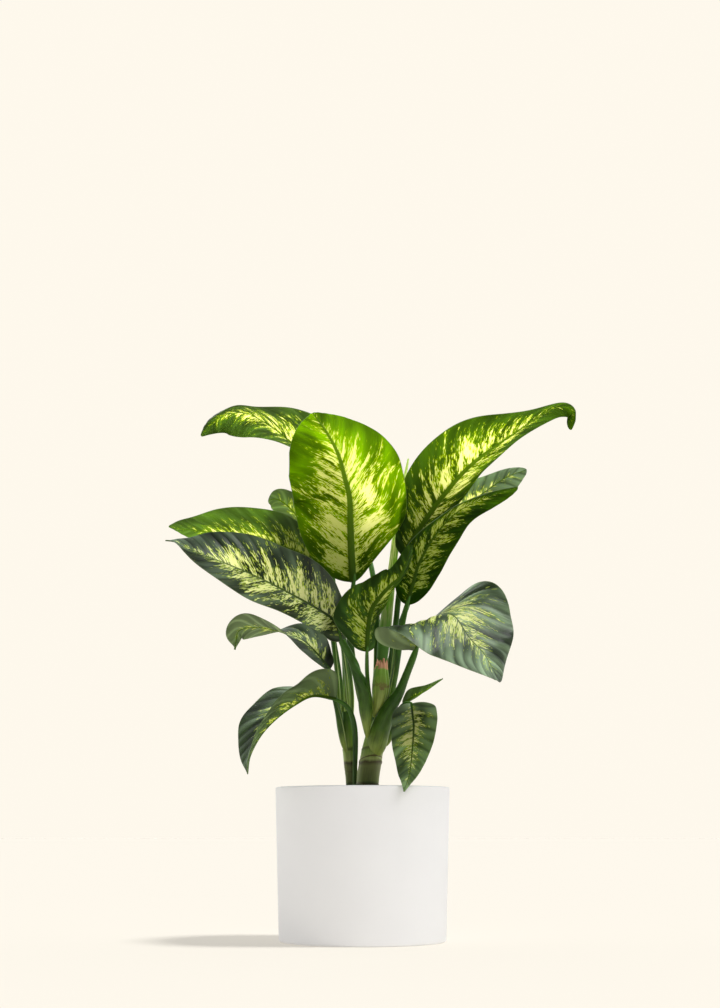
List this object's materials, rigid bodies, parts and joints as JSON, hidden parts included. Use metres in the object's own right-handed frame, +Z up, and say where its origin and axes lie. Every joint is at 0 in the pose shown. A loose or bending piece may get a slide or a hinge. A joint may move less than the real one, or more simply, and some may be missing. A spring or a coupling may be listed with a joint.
{
  "type": "potted dieffenbachia",
  "caption": "Bushy dieffenbachia with broad cream-streaked leaves on ringed canes, standing in soil in a plain white cylindrical pot.",
  "frame": {"origin": "middle of the pot's flat underside", "axes": "+Z up along the pot's axis, -Y towards the side that is seen from the front, +X to the right there"},
  "size_m": [0.4838, 0.3534, 0.6333],
  "materials": {
    "white_ceramic": "matte white glaze",
    "potting_soil": "loose dark peat and bark",
    "green_cane": "smooth green bark with brown leaf scars",
    "streaked_leaf": "satin green with cream streaks along the midrib",
    "pale_new_leaf": "satin pale green"
  },
  "bodies": {
    "root": {"pot": "white_ceramic", "soil": "potting_soil", "cane_main": "green_cane", "cane_left": "green_cane", "old_sheath": "green_cane", "leaf_mid_right": "streaked_leaf", "leaf_mid_left": "streaked_leaf", "leaf_small_front": "streaked_leaf", "leaf_top_front": "streaked_leaf", "leaf_rolled": "pale_new_leaf", "leaf_top_right": "streaked_leaf", "leaf_upper_right": "streaked_leaf", "leaf_bottom_right": "streaked_leaf", "leaf_narrow_right": "streaked_leaf", "leaf_back": "streaked_leaf", "leaf_back_right": "streaked_leaf", "leaf_bottom_left": "streaked_leaf", "leaf_low_left": "streaked_leaf", "leaf_upper_left": "streaked_leaf", "leaf_top_left": "streaked_leaf", "leaf_small_left": "streaked_leaf"}
  },
  "joints": []
}
